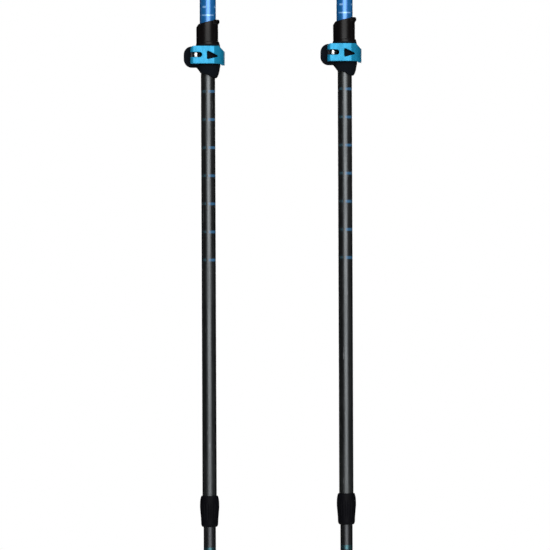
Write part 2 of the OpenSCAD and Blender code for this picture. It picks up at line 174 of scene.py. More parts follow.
def effect(name, inputs, outputs):
    """An empty node group with named numbers in and out; returns it, its input and output nodes."""
    group = bpy.data.node_groups.new(name, "ShaderNodeTree")
    for key, value in inputs.items():
        socket = group.interface.new_socket(key, in_out="INPUT", socket_type="NodeSocketFloat")
        socket.default_value = value
    for key in outputs:
        group.interface.new_socket(key, in_out="OUTPUT", socket_type="NodeSocketFloat")
    return group, group.nodes.new("NodeGroupInput").outputs, group.nodes.new("NodeGroupOutput").inputs


def use(tree, group, **inputs):
    """Places an effect in a material and returns its outputs."""
    made = tree.nodes.new("ShaderNodeGroup")
    made.node_tree = group
    for key, value in inputs.items():
        made.inputs[key.replace("_", " ")].default_value = value
    return made.outputs


# %% [markdown]
# Metal tubes show their light as a stripe: one softbox gives each tube a soft highlight down its
# middle, and dark surroundings keep its edges dark. The softbox stands a little to the right of the
# camera, two weak fills lift the sides and a third lights the back. The floor has its own light with a
# narrow spread, which shines straight down and so hardly touches the poles. The backdrop is plain
# white for the camera alone, or its reflection would wash out the black parts.

# %% Lights, floor and backdrop


def softbox(name, azimuth, distance, height, size, power):
    """A rectangular light that stands at an angle round the poles and faces their middle."""
    data = bpy.data.lights.new(name, "AREA")
    data.shape = "RECTANGLE"
    data.size, data.size_y = size
    data.energy = power
    light = put(name, data)
    angle = math.radians(azimuth)
    target = Vector((camera.location.x, 0, camera.location.z))
    light.location = target + Vector((math.sin(angle), -math.cos(angle), 0)) * distance
    light.location.z = height
    light.rotation_euler = (target - light.location).to_track_quat("-Z", "Y").to_euler()
    light.visible_camera = False
    return light


softbox("key_strip", 5, 2.2, 1.4, (2.0, 2.2), 112)
softbox("left_fill", -95, 2.4, 0.9, (0.5, 2.2), 1.5)
softbox("right_fill", 85, 2.4, 0.9, (0.5, 2.2), 2)
softbox("back_fill", 180, 2.5, 1.2, (1.6, 1.6), 30)
floor_light = softbox("floor_light", 0, 0.0, 3.6, (3.2, 3.2), 22)
floor_light.rotation_euler = (0, 0, 0)
floor_light.data.spread = math.radians(60)

world = bpy.data.worlds.new("white_studio")
world.use_nodes = True
bpy.context.scene.world = world
sky = world.node_tree
SEEN_WHITE, SURROUND = 1.0, 0.02
seen = add(sky, "LightPath").outputs["Is Camera Ray"]
strength = add(sky, "MapRange", {"Value": seen, "To Min": SURROUND, "To Max": SEEN_WHITE})
feed(sky, sky.nodes["Background"].inputs,
     {"Color": (1, 1, 1, 1), "Strength": strength.outputs["Result"]})

FLOOR_RADIUS, FLOOR_SIDES = 1.0, 128
floor_data = bpy.data.meshes.new("floor")
rim = [2 * math.pi * step / FLOOR_SIDES for step in range(FLOOR_SIDES)]
corners = [(camera.location.x + FLOOR_RADIUS * math.cos(a), FLOOR_RADIUS * math.sin(a), 0) for a in rim]
floor_data.from_pydata(corners, [], [range(FLOOR_SIDES)])
paper = bpy.data.materials.new("pale_paper")
paper.use_nodes = True
pulp = paper.node_tree
fibres = add(pulp, "TexNoise", {"Scale": 300.0}).outputs["Fac"]
tint = add(pulp, "MapRange", {"Value": fibres, "To Min": 0.82, "To Max": 0.88}).outputs["Result"]
feed(pulp, pulp.nodes["Principled BSDF"].inputs, {"Base Color": tint, "Roughness": 0.9})
floor_data.materials.append(paper)
put("floor", floor_data)
bpy.context.scene.view_settings.view_transform = "Standard"

# %% [markdown]
# Four effects are shared. Drawn lines are the fine streaks that a drawing die leaves along a tube.
# Scuffs are sparse scratches from being slid in and out. Spark grain is the even texture of a
# moulding tool. Handling is a slow change in gloss where hands and packs have rubbed.

# %% Shared effects


def make_drawn_lines():
    """Noise squeezed across the tube and stretched far along it."""
    group, given, result = effect("drawn_lines", {"Scale": 1.0}, ["Lines"])
    streaks = noise(group, stretched(group, (2600, 2600, 14)), given["Scale"], 3.0)
    feed(group, result, {"Lines": streaks})
    return group


def make_scuffs():
    """Thin slanting ridges of stretched noise, kept only where a coarse noise allows them."""
    group, given, result = effect("scuffs", {"Amount": 0.5}, ["Scuffs"])
    lines = ramp(group, noise(group, stretched(group, (900, 700, 60)), 1.0, 2.0), 0.66, 0.72)
    patches = ramp(group, noise(group, stretched(group, (90, 90, 30)), 1.0, 1.0), 0.5, 0.62)
    both = calc(group, "MULTIPLY", lines, patches)
    feed(group, result, {"Scuffs": calc(group, "MULTIPLY", both, given["Amount"])})
    return group


def make_spark_grain():
    """Two scales of noise added up, as the pits of spark erosion overlap."""
    group, given, result = effect("spark_grain", {"Scale": 3200.0}, ["Height"])
    where = stretched(group, (1, 1, 1))
    fine = noise(group, where, given["Scale"], 2.0)
    broad = noise(group, where, calc(group, "MULTIPLY", given["Scale"], 0.35), 1.0)
    total = calc(group, "ADD", fine, broad)
    feed(group, result, {"Height": calc(group, "MULTIPLY", total, 0.5)})
    return group


def make_handling():
    """A slow noise between 0 and 1, for gloss and shade."""
    group, given, result = effect("handling", {"Scale": 60.0}, ["Rubbed"])
    slow = noise(group, stretched(group, (1, 1, 0.4)), given["Scale"], 4.0, 0.6)
    feed(group, result, {"Rubbed": ramp(group, slow, 0.35, 0.7)})
    return group


drawn_lines = make_drawn_lines()
scuffs = make_scuffs()
spark_grain = make_spark_grain()
handling = make_handling()
print("effects:", [g.name for g in bpy.data.node_groups])

# %% [markdown]
# A finish starts from a plain Principled shader. Its even values are set on the shader itself, and
# only what changes over the surface is linked: shade, roughness and the bump that stands for texture
# too fine to model. Most finishes share one change, the slow one of handling.

# %% Starting a finish


def finish(name, metallic=0.0, roughness=0.4, coat=0.0, coat_roughness=0.1, specular=0.5, sheen=0.0):
    """A material with its even values set; returns it, its tree and its shader's inputs."""
    material = bpy.data.materials.new(name)
    material.use_nodes = True
    tree = material.node_tree
    sockets = tree.nodes["Principled BSDF"].inputs
    feed(tree, sockets, {"Metallic": metallic, "Roughness": roughness, "Coat Weight": coat,
                         "Coat Roughness": coat_roughness, "Specular IOR Level": specular,
                         "Sheen Weight": sheen})
    return material, tree, sockets


def link_bump(tree, sockets, height, depth, strength):
    """Feeds a height map to the shader's normal, with its depth in metres."""
    bump = add(tree, "Bump", {"Height": height, "Distance": depth, "Strength": strength})
    feed(tree, sockets, {"Normal": bump.outputs["Normal"]})


def handled(name, scale, shade, rubbed_shade, gloss, rubbed_gloss, **even):
    """A finish whose shade and roughness change slowly with handling."""
    material, tree, sockets = finish(name, **even)
    rubbed = use(tree, handling, Scale=scale)["Rubbed"]
    feed(tree, sockets, {"Base Color": mix(tree, rubbed, shade, rubbed_shade),
                         "Roughness": ramp(tree, rubbed, 0, 1, gloss, rubbed_gloss)})
    return material, tree, sockets


def wear(material, node_names):
    """Gives a finish to CAD nodes."""
    for name in node_names:
        nodes[name].data.materials.clear()
        nodes[name].data.materials.append(material)


# %% [markdown]
# Anodised aluminium is metal under a thin clear layer of oxide, dyed before it is sealed. A metallic
# base in the dye's colour with a clear coat gives both: a coloured wide reflection and a sharper
# colourless one. The middle tube's length scale is printed on it, so it is a mask worked out from the
# height and the angle round the tube.

# %% Anodised tubes


def angle_round(tree, side):
    """Angle in radians round a pole, 0 at its front and growing to its right, and the height."""
    where = add(tree, "TexCoord").outputs["Object"]
    split = add(tree, "SeparateXYZ", {"Vector": where}).outputs
    across = calc(tree, "SUBTRACT", split["X"], places[side]["x"])
    forward = calc(tree, "MULTIPLY", split["Y"], -1.0)
    return calc(tree, "ARCTAN2", across, forward), split["Z"]


def band(tree, value, centre, half, soft):
    """1 where value lies within half of centre, with a soft edge."""
    away = calc(tree, "ABSOLUTE", calc(tree, "SUBTRACT", value, centre))
    return ramp(tree, away, half - soft, half + soft, 1.0, 0.0)


BARE_METAL = (0.55, 0.57, 0.6, 1)


def anodised(side, name, dye, deep, metallic, roughness, coat, marks, ink, cover):
    """Dyed, sealed aluminium tube with drawn lines, scuffs and a printed mask that covers the metal."""
    material, tree, sockets = finish(side + name, coat=coat, coat_roughness=0.3)
    lines = use(tree, drawn_lines)["Lines"]
    rubbed = use(tree, handling, Scale=45.0)["Rubbed"]
    shade = mix(tree, ramp(tree, lines, 0.3, 0.7), dye, deep)
    colour = mix(tree, use(tree, scuffs, Amount=0.25)["Scuffs"], shade, BARE_METAL)
    printed = marks(tree, side)
    gloss = calc(tree, "ADD", ramp(tree, rubbed, 0, 1, roughness - 0.03, roughness + 0.05),
                 ramp(tree, lines, 0, 1, -0.02, 0.04))
    bare = ramp(tree, printed, 0, 1, metallic, metallic * (1 - cover))
    feed(tree, sockets, {"Base Color": mix(tree, printed, colour, ink), "Metallic": bare,
                         "Roughness": gloss})
    link_bump(tree, sockets, lines, 0.00001, 0.35)
    return material


SCALE_PITCH = 0.0275
SCALE_COUNT = 7
SCALE_TOP_BELOW_LEVER = 0.0356
SCALE_RING = 0.0026
SCALE_MIDDLE, SCALE_HALF_TURN = math.radians(95), math.radians(93)
LIMIT_LINES_ABOVE_LEVER = (0.0390, 0.0471)
LIMIT_LINE_HALF, LIMIT_DASH_HALF, LIMIT_SOFT = 0.0006, 0.0009, 0.0003
LIMIT_LINE_TURN, LIMIT_DASHES, LIMIT_PHASE = 0.8, 4.0, math.radians(194)
LIMIT_STRENGTH = 0.45
LOWER_RING_BELOW_COLLAR = 0.0222
LOWER_RING = 0.0042


def scale_marks(tree, side):
    """Mask of the printed length rings: from the front round the right side to the back."""
    round_it, z = angle_round(tree, side)
    top = places[side]["lever_z"] - SCALE_TOP_BELOW_LEVER
    steps = calc(tree, "DIVIDE", calc(tree, "SUBTRACT", top, z), SCALE_PITCH)
    off = calc(tree, "ABSOLUTE", calc(tree, "SUBTRACT", steps, calc(tree, "ROUND", steps)))
    half = SCALE_RING / 2 / SCALE_PITCH
    ring = ramp(tree, off, half * 0.85, half * 1.15, 1.0, 0.0)
    inside = band(tree, steps, (SCALE_COUNT - 1) / 2, SCALE_COUNT / 2, 0.01)
    arc = band(tree, round_it, SCALE_MIDDLE, SCALE_HALF_TURN, 0.02)
    return calc(tree, "MULTIPLY", calc(tree, "MULTIPLY", ring, inside), arc)


def limit_marks(tree, side):
    """Mask of a short line and a row of dashes just above the clamp, a generic limit mark."""
    round_it, z = angle_round(tree, side)
    low, high = (places[side]["lever_z"] + up for up in LIMIT_LINES_ABOVE_LEVER)
    line = band(tree, z, low, LIMIT_LINE_HALF, LIMIT_SOFT)
    solid = calc(tree, "MULTIPLY", line, band(tree, round_it, 0, LIMIT_LINE_TURN, 0.05))
    dashed = band(tree, z, high, LIMIT_DASH_HALF, LIMIT_SOFT)
    turned_by = calc(tree, "MULTIPLY_ADD", round_it, LIMIT_DASHES, LIMIT_PHASE)
    dashes = ramp(tree, calc(tree, "SINE", turned_by), 0.55, 0.7)
    both = calc(tree, "MAXIMUM", solid, calc(tree, "MULTIPLY", dashed, dashes))
    return calc(tree, "MULTIPLY", both, LIMIT_STRENGTH)


def lower_mark(tree, side):
    """Mask of the one ring printed just under the collar."""
    ring_z = places[side]["collar_foot"] - LOWER_RING_BELOW_COLLAR
    return band(tree, angle_round(tree, side)[1], ring_z, LOWER_RING / 2, 0.0001)


TUBES = {  # name, dye, deeper dye, metallic, roughness, coat, marks, their ink, how far ink hides metal
    "upper_shaft": ("_blue_tube", (0.004, 0.105, 0.31, 1), (0.003, 0.09, 0.27, 1), 0.42, 0.36, 0.45,
                    limit_marks, (0.34, 0.56, 0.8, 1), 0.5),
    "mid_shaft": ("_black_tube", (0.058, 0.062, 0.064, 1), (0.042, 0.045, 0.047, 1), 1.0, 0.38, 0.04,
                  scale_marks, (0.015, 0.062, 0.125, 1), 1.0),
    "lower_shaft": ("_lower_tube", (0.05, 0.052, 0.055, 1), (0.038, 0.04, 0.043, 1), 1.0, 0.38, 0.04,
                    lower_mark, (0.045, 0.105, 0.12, 1), 0.0),
}
for side in SIDES:
    for node, look in TUBES.items():
        wear(anodised(side, *look), [side + "_" + node])
print("tubes finished")

# %% [markdown]
# The lever is machined aluminium with a brighter dye and a blasted, satin surface. The clamp and the
# ferrule are glass-filled nylon: nearly black, with a broad weak highlight and spark grain. From the
# top of its band down, the clamp is matt and its colour is a painted shade, darker and tinted navy.

# %% Lever, clamp and small parts


def satin_dye(name, dye, deep, roughness):
    """Blasted and dyed aluminium."""
    material, tree, sockets = handled(name, 180.0, dye, deep, roughness - 0.04, roughness + 0.06,
                                      metallic=0.28, specular=0.15)
    link_bump(tree, sockets, use(tree, spark_grain, Scale=5200.0)["Height"], 0.00002, 0.3)
    return material


def moulded(name, shade, pale, roughness, grain_scale=3200.0, depth=0.00004, specular=0.4):
    """Moulded plastic or rubber with spark grain and rubbed patches."""
    material, tree, sockets = handled(name, 110.0, shade, pale, roughness + 0.05, roughness - 0.04,
                                      specular=specular)
    link_bump(tree, sockets, use(tree, spark_grain, Scale=grain_scale)["Height"], depth, 0.5)
    return material


def turned(name, metal, dark, roughness):
    """Bare machined metal with faint tool marks."""
    material, tree, sockets = handled(name, 220.0, metal, dark, roughness, roughness + 0.12,
                                      metallic=1.0)
    where = stretched(tree, (1, 1, 1))
    marks = add(tree, "TexWave", {"Vector": where, "Scale": 1400.0, "Distortion": 1.5})
    link_bump(tree, sockets, marks.outputs["Fac"], 0.000006, 0.25)
    return material


# Top of the matt region round the lever band; below it the colour is a painted shade.
COARSE_AND_SHADED_ABOVE_LEVER, COARSE_AND_SHADED_FADE = 0.0105, 0.0008


def clamp_nylon(side):
    """Glass-filled nylon: smooth on the sleeve; coarse and matt from the band down, with painted shade
    there.
    """
    material, tree, sockets = finish(side + "_clamp_nylon", specular=0.1)
    z = angle_round(tree, side)[1]
    top = places[side]["lever_z"] + COARSE_AND_SHADED_ABOVE_LEVER
    coarse_and_shaded = ramp(tree, z, top - COARSE_AND_SHADED_FADE, top + COARSE_AND_SHADED_FADE, 1.0, 0.0)
    grain = use(tree, spark_grain, Scale=2600.0)["Height"]
    rubbed = use(tree, handling, Scale=110.0)["Rubbed"]
    smooth_shade = mix(tree, rubbed, (0.0017, 0.0012, 0.0013, 1), (0.003, 0.0024, 0.0025, 1))
    # Painted shade: from the band down the colour is a darker navy, for the shade under and behind the
    # lever.
    shade = mix(tree, coarse_and_shaded, smooth_shade, (0.0003, 0.0012, 0.0030, 1))
    gloss = calc(tree, "ADD", ramp(tree, rubbed, 0, 1, 0.35, 0.3), ramp(tree, coarse_and_shaded, 0, 1, 0, 0.55))
    feed(tree, sockets, {"Base Color": shade, "Roughness": gloss})
    link_bump(tree, sockets, grain, 0.00005, 0.5)
    return material


PARTS = (  # how the finish is made, the pieces that wear it, its name, two shades and roughness
    (satin_dye, "cam_lever", "lever_blue", (0.007, 0.16, 0.285, 1), (0.006, 0.14, 0.25, 1), 0.34),
    (moulded, "tip_ferrule", "ferrule_plastic", (0.012, 0.012, 0.013, 1), (0.02, 0.02, 0.021, 1), 0.45),
    (moulded, "basket", "basket_plastic", (0.014, 0.014, 0.016, 1), (0.024, 0.024, 0.026, 1), 0.48),
    (moulded, "clamp_liner mid_guide", "grey_nylon", (0.2, 0.21, 0.22, 1), (0.26, 0.27, 0.28, 1), 0.5),
    (moulded, "expander_shell", "natural_nylon", (0.62, 0.6, 0.52, 1), (0.7, 0.68, 0.6, 1), 0.45),
    (moulded, "spreader_cone", "acetal", (0.7, 0.3, 0.06, 1), (0.76, 0.36, 0.09, 1), 0.35),
    (turned, "captive_nut stud stud_stop strap_pin", "zinc_steel",
     (0.6, 0.61, 0.63, 1), (0.42, 0.43, 0.45, 1), 0.3),
    (turned, "cam_washer lever_barrel", "black_steel",
     (0.016, 0.017, 0.019, 1), (0.009, 0.0095, 0.011, 1), 0.42),
    (turned, "tension_screw", "bright_steel", (0.86, 0.9, 0.92, 1), (0.74, 0.78, 0.8, 1), 0.16),
    (turned, "stud_plug", "plain_aluminium", (0.78, 0.79, 0.8, 1), (0.66, 0.67, 0.69, 1), 0.32),
    (turned, "carbide_tip", "carbide", (0.3, 0.3, 0.32, 1), (0.2, 0.2, 0.22, 1), 0.4),
)
for made_by, parts, *look in PARTS:
    wear(made_by(*look), [side + "_" + part for side in SIDES for part in parts.split()])
wedge_finish = moulded("wedge_plastic", (0.006, 0.075, 0.22, 1), (0.008, 0.09, 0.25, 1), 0.42,
                       specular=0.25)
for side in SIDES:
    wear(wedge_finish, [side + "_strap_wedge"])
    wear(clamp_nylon(side), [side + "_clamp_collar"])
print("small parts finished")

# %% [markdown]
# The lever and the clamp have the right shape already, but a tumbled lever and a moulding have no
# knife edges. A copy of each is welded, remeshed finely and smoothed a little, so that every edge gets
# a small radius that catches the light. It keeps the finish of the node that it stands for.

# %% Edge softening
WELD = 0.000005
SOFTENED = {  # node: name, body, slot, voxel, smoothing passes
    "cam_lever": ("_lever_casting", "{side}_lever", "lever_anodised", 0.00024, 4),
    "clamp_collar": ("_clamp_moulding", "upper_sections", "clamp_plastic", 0.00034, 3),
}


def final_mesh(obj):
    """The mesh that an object comes to, whether it is text or has modifiers."""
    bpy.context.view_layer.update()
    return bpy.data.meshes.new_from_object(obj.evaluated_get(bpy.context.evaluated_depsgraph_get()))


def settle(obj):
    """Makes a piece's modifiers part of its mesh."""
    made = final_mesh(obj)
    obj.modifiers.clear()
    obj.data = made
    return obj


def mould(obj, voxel, passes):
    """Remeshes a closed piece finely and smooths it, so that its sharp edges get a small radius."""
    remesh = obj.modifiers.new("fine", "REMESH")
    remesh.mode, remesh.voxel_size, remesh.use_smooth_shade = "VOXEL", voxel, True
    soften = obj.modifiers.new("soften", "SMOOTH")
    soften.factor, soften.iterations = 0.5, passes
    return settle(obj)


def hang(obj, body, slot, material, *replaced):
    """Gives a piece its body, its finish and the CAD nodes that it stands for."""
    obj.data.materials.clear()
    obj.data.materials.append(material)
    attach(obj, body)
    if replaced:
        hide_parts(*replaced)
    faces = sum(len(polygon.vertices) - 2 for polygon in obj.data.polygons)
    print(obj.name, "on", body, faces, "triangles")
    return obj


def softened(side, node, name, body, slot, voxel, passes):
    """A welded, remeshed and smoothed copy of a CAD node, which it replaces."""
    node = side + "_" + node
    mesh = nodes[node].data.copy()
    welded = bmesh.new()
    welded.from_mesh(mesh)
    bmesh.ops.remove_doubles(welded, verts=welded.verts, dist=WELD)
    welded.to_mesh(mesh)
    welded.free()
    copy = mould(put(side + name, mesh), voxel, passes)
    return hang(copy, body.format(side=side), slot, nodes[node].data.materials[0], node)


for side in SIDES:
    for node, look in SOFTENED.items():
        softened(side, node, *look)

# %% [markdown]
# The soft and moulded pieces are new surfaces. Each is a grid of points worked out with numpy: rows
# run along the piece and columns run round it. One helper turns such a grid into a mesh. It can join
# the last column to the first, join the last row to the first as on a ring, or close both ends with
# a pole, so every piece is a closed solid with its faces outwards.

# %% Surfaces from grids


def surface(name, points, ring=False, uv=None, sharp=35):
    """Vertex (i, j) is points[i, j]. Columns join round; the ends close by poles or as a ring."""
    rows, columns = points.shape[:2]
    index = np.arange(rows * columns).reshape(rows, columns)
    joined = np.hstack([index, index[:, :1]])
    if ring:
        joined = np.vstack([joined, joined[:1]])
    corners = [joined[:-1, :-1], joined[:-1, 1:], joined[1:, 1:], joined[1:, :-1]]
    faces = np.stack(corners, -1).reshape(-1, 4).tolist()
    vertices = points.reshape(-1, 3)
    if not ring:
        poles = np.array([points[0].mean(0), points[-1].mean(0)])
        vertices = np.vstack([vertices, poles])
        first, last = joined[0], joined[-1]
        low = np.full(columns, rows * columns)
        faces += np.stack([first[1:], first[:-1], low], 1).tolist()
        faces += np.stack([last[:-1], last[1:], low + 1], 1).tolist()
    mesh = bpy.data.meshes.new(name)
    mesh.from_pydata(vertices.tolist(), [], faces)
    if uv is not None:
        quads = np.stack([uv[:-1, :-1], uv[:-1, 1:], uv[1:, 1:], uv[1:, :-1]], 2).reshape(-1, 2)
        flat = np.zeros((len(mesh.loops), 2))
        flat[:len(quads)] = quads
        mesh.uv_layers.new(name="along").data.foreach_set("uv", flat.ravel())
    mesh.polygons.foreach_set("use_smooth", np.ones(len(mesh.polygons), bool))
    mesh.set_sharp_from_angle(angle=math.radians(sharp))
    mesh.update()
    return put(name, mesh)


def circle(count):
    """Angles evenly round a turn."""
    return np.linspace(0, 2 * np.pi, count, endpoint=False)


def signed_power(values, power):
    """The sign of each value times its size raised to a power."""
    return np.sign(values) * np.abs(values) ** power


def spline(stations, count):
    """A smooth curve through rows of numbers: a Catmull-Rom spline, evenly shared between the rows."""
    stations = np.array(stations, float)
    along = np.linspace(0, len(stations) - 1, count)
    start = np.minimum(along.astype(int), len(stations) - 2)
    t = (along - start)[:, None]
    slope = np.gradient(stations, axis=0)
    here, there = stations[start], stations[start + 1]
    return ((2 * t ** 3 - 3 * t ** 2 + 1) * here + (t ** 3 - 2 * t ** 2 + t) * slope[start]
            + (3 * t ** 2 - 2 * t ** 3) * there + (t ** 3 - t ** 2) * slope[start + 1])


# %% [markdown]
# The grip, the foam sleeve and the head are pushed on to the upper tube, which runs inside them, and
# the middle tube slides in that one. So each of them is hollow: its rows of points go up the outside
# and come back down the bore, as a ring.

# %% Bore of the pieces on the upper tube
BORE_CLEARANCE = 0.00002


def tube_radius(node):
    """Half the width of a tube's box."""
    low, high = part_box(node)
    return (high.x - low.x) / 2


def bored(side, points):
    """Adds a bore round the axis: the last row of points and the first, drawn in to its radius."""
    bore = points[[-1, 0]]
    axis = np.array([places[side]["x"], 0])
    away = bore[..., :2] - axis
    unit = away / np.linalg.norm(away, axis=-1, keepdims=True)
    drawn = axis + unit * (tube_radius(side + "_upper_shaft") + BORE_CLEARANCE)
    return np.concatenate([points, np.concatenate([drawn, bore[..., 2:]], -1)])


# %% [markdown]
# The grip is closed-cell foam pressed in a hot mould, so it has a thin skin over fine cells. It is
# squarish in section, swells under the fingers and has short grooves across its front. A loft does
# this: a rounded-square outline whose reach to the front, to the back and to the sides changes with
# height. The grooves are narrow dips in that reach, faded out round the sides.

# %% Foam grip
GRIP_STATIONS = (  # height, reach to the front, to the back and to each side
    (0, 15.3, 15.8, 14.8), (4, 17, 17.2, 16.2), (9, 16.6, 16.8, 15.8), (18, 14.2, 15.2, 14),
    (32, 13.8, 15.6, 13.8), (50, 14.8, 16.8, 14.6), (66, 14.6, 16.8, 14.6), (80, 13.6, 15.6, 14),
    (93, 14.2, 15.4, 14.6), (102, 16.2, 15.8, 15.6),
)
GRIP_ROWS, GRIP_COLUMNS = 330, 128
SQUARENESS, WINDOW_GAIN, WINDOW_EDGE = 2.6, 1.9, 0.35
GROOVES_MM = (24, 31, 38, 45, 58, 65, 72, 79)
GROOVE_DEPTH_MM, GROOVE_HALF_MM = 0.9, 0.9


def turned_round(reach, turn, height):
    """Points at a reach and an angle round an upright axis, from millimetres to metres."""
    x, y = reach * np.cos(turn), reach * np.sin(turn)
    return np.stack([x, y, np.broadcast_to(height, x.shape)], -1) * MM


def rounded_square(heights, front, back, half, columns):
    """x = half * c, y = middle + depth * s; c and s are cosine and sine to the power 2 / SQUARENESS."""
    turn = circle(columns)
    c, s = signed_power(np.cos(turn), 2 / SQUARENESS), signed_power(np.sin(turn), 2 / SQUARENESS)
    x = half * c
    y = (back - front) / 2 + (back + front) / 2 * s
    return np.stack([x, y, np.broadcast_to(heights, x.shape)], -1), turn


def grip_points(side):
    """The loft through GRIP_STATIONS less the grooves: bell curves in height times a front window."""
    height, front, back, half = spline(GRIP_STATIONS, GRIP_ROWS).T[:, :, None]
    points, turn = rounded_square(height, front, back, half, GRIP_COLUMNS)
    bells = sum(np.exp(-((height - g) / GROOVE_HALF_MM) ** 2) for g in GROOVES_MM)
    window = np.clip(-np.sin(turn) * WINDOW_GAIN - WINDOW_EDGE, 0, 1) ** 1.5
    reach = np.hypot(points[..., 0], points[..., 1])[..., None]
    points[..., :2] *= 1 - (GROOVE_DEPTH_MM * (bells * window)[..., None] / reach)
    points *= MM
    return bored(side, points + (places[side]["x"], 0, places[side]["grip_foot"]))


# %% [markdown]
# Below the grip a plain foam sleeve gives a lower hold on steep ground. It is cut from extruded foam
# tube, with rounded grooves all the way round, and has a slight waviness that a ground surface keeps.

# %% Foam sleeve below the grip
SLEEVE_PITCH_MM, SLEEVE_GROOVE_MM, SLEEVE_GROOVE_HALF_MM, SLEEVE_REACH_MM = 7.0, 0.85, 1.3, 13.0
SLEEVE_FIRST_MM, SLEEVE_PLAIN_MM, SLEEVE_WAVE_MM = 8.0, 6.0, 0.06
SLEEVE_ROWS, SLEEVE_COLUMNS = 430, 96
FOOT_ROUND_MM, FOOT_HIGH_MM, FLARE_MM, FLARE_HIGH_MM = 2.2, 2.4, 0.8, 2.5


def sleeve_points(side):
    """An even radius, dipped by a rounded groove at each pitch, round at its foot and flared on top."""
    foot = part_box(side + "_grip_sleeve")[0].z
    top = places[side]["grip_foot"]
    height = np.linspace(0, (top - foot) / MM, SLEEVE_ROWS)
    half_pitch = SLEEVE_PITCH_MM / 2
    off = np.abs((height - SLEEVE_FIRST_MM + half_pitch) % SLEEVE_PITCH_MM - half_pitch)
    groove = np.clip(1 - (off / SLEEVE_GROOVE_HALF_MM) ** 2, 0, 1) ** 0.5
    dips = np.where((height > SLEEVE_PLAIN_MM) & (height < height[-1] - SLEEVE_PLAIN_MM), groove, 0)
    foot_round = FOOT_ROUND_MM * np.clip(1 - height / FOOT_HIGH_MM, 0, 1) ** 2
    top_flare = FLARE_MM * np.clip(1 - (height[-1] - height) / FLARE_HIGH_MM, 0, 1) ** 2
    reach = (SLEEVE_REACH_MM - SLEEVE_GROOVE_MM * dips - foot_round + top_flare)[:, None]
    height = height[:, None]
    turn = circle(SLEEVE_COLUMNS)
    reach = reach + SLEEVE_WAVE_MM * np.sin(3 * turn + 0.11 * height) * np.sin(0.07 * height)
    return bored(side, turned_round(reach, turn, height) + (places[side]["x"], 0, foot))


# %% [markdown]
# Both foams are dark grey and matt. Fine noise makes the open cells, darker and a hair deeper than the
# skin, and the handling effect lets the skin shine a little where a hand has held it.

# %% Foam finish and the two foam pieces


def foam(name, shade, pale):
    """Fine noise for the cells, a slow one for the skin's shade and gloss, and a soft sheen."""
    material, tree, sockets = finish(name, specular=0.22, sheen=0.12)
    pores = ramp(tree, noise(tree, stretched(tree, (1, 1, 1)), 2300.0, 3.0, 0.6), 0.30, 0.46)
    rubbed = use(tree, handling, Scale=38.0)["Rubbed"]
    skin = mix(tree, rubbed, shade, pale)
    feed(tree, sockets, {"Base Color": mix(tree, pores, (0.012, 0.012, 0.014, 1), skin),
                         "Roughness": ramp(tree, rubbed, 0, 1, 0.86, 0.62)})
    link_bump(tree, sockets, pores, 0.00012, 0.6)
    return material


foam_finish = foam("grip_foam", (0.022, 0.023, 0.026, 1), (0.034, 0.035, 0.038, 1))
sleeve_finish = foam("sleeve_foam", (0.026, 0.027, 0.029, 1), (0.04, 0.041, 0.044, 1))
for side in SIDES:
    hang(surface(side + "_foam_grip", grip_points(side), ring=True), "upper_sections", "grip_foam",
         foam_finish, side + "_grip")
    hang(surface(side + "_foam_sleeve", sleeve_points(side), ring=True), "upper_sections", "grip_foam",
         sleeve_finish, side + "_grip_sleeve")

# %% [markdown]
# The head is a hard moulded shell with a slot in its back, where the strap goes in round its pin, a
# pocket in its top for the wedge that locks the strap, and a socket for the upper tube. The outside is
# a loft like the grip's. The slot, the pocket and the socket are solids cut out of it, and a fine
# remesh with a little smoothing then gives every edge the small radius that a moulding has.

# %% Head shell
HEAD_STATIONS = (  # height, reach to the front, to the back and to each side
    (0, 17.3, 17.8, 15.9), (2.5, 19.4, 21.6, 16.4), (6, 20.5, 24, 16.6), (12, 22, 26.6, 16.8),
    (18, 21.5, 26.8, 16.6), (23, 19, 25, 15.2), (27, 14.5, 20.5, 12.4), (29.3, 9.5, 15, 8.6),
    (29.9, 5, 9.5, 4.6), (30, 2, 5, 1.8),
)
HEAD_ROWS, HEAD_COLUMNS, SOCKET_COLUMNS = 90, 120, 72
SLOT_REACH_MM, SLOT_HALF_MM, SLOT_ROUND_MM = 45.0, 8.5, 4.4
SLOT_LOW, SLOT_HIGH = math.radians(-85.25), math.radians(29.25)
POCKET_HALF_MM, POCKET_FRONT_MM, POCKET_BACK_MM = 7.0, 12.3, 19.2
POCKET_PAST_TOP_MM = 5.0
HEAD_VOXEL, HEAD_PASSES = 0.00042, 5
SOCKET_CLEARANCE = 0.0002


def prism(name, outline, half, centre):
    """An outline in y and z carried from -half to +half along x: two rows of points and their ends."""
    outline = np.array(outline, float)
    rows = [np.column_stack([np.full(len(outline), x), outline]) for x in (-half, half)]
    return surface(name, np.array(rows) * MM + np.array(centre))


def direction(angle):
    """The unit step at an angle."""
    return np.array([math.cos(angle), math.sin(angle)])


def strap_slot_outline():
    """A round about the pin, opened into the sector that the strap's two legs sweep."""
    quarter = math.pi / 2
    round_part = np.linspace(SLOT_HIGH + quarter, SLOT_LOW - quarter + 2 * math.pi, 14)
    arc = [SLOT_ROUND_MM * direction(a) for a in round_part]
    low = SLOT_ROUND_MM * direction(SLOT_LOW - quarter) + SLOT_REACH_MM * direction(SLOT_LOW)
    far = SLOT_REACH_MM * 1.5 * direction((SLOT_LOW + SLOT_HIGH) / 2)
    high = SLOT_ROUND_MM * direction(SLOT_HIGH + quarter) + SLOT_REACH_MM * direction(SLOT_HIGH)
    return arc + [low, far, high]


def carve(obj, cutters):
    """Cuts closed pieces out of another, then takes them away."""
    for cutter in cutters:
        cut = obj.modifiers.new("cut", "BOOLEAN")
        cut.operation, cut.solver, cut.object = "DIFFERENCE", "EXACT", cutter
    settle(obj)
    for cutter in cutters:
        bpy.data.objects.remove(cutter)


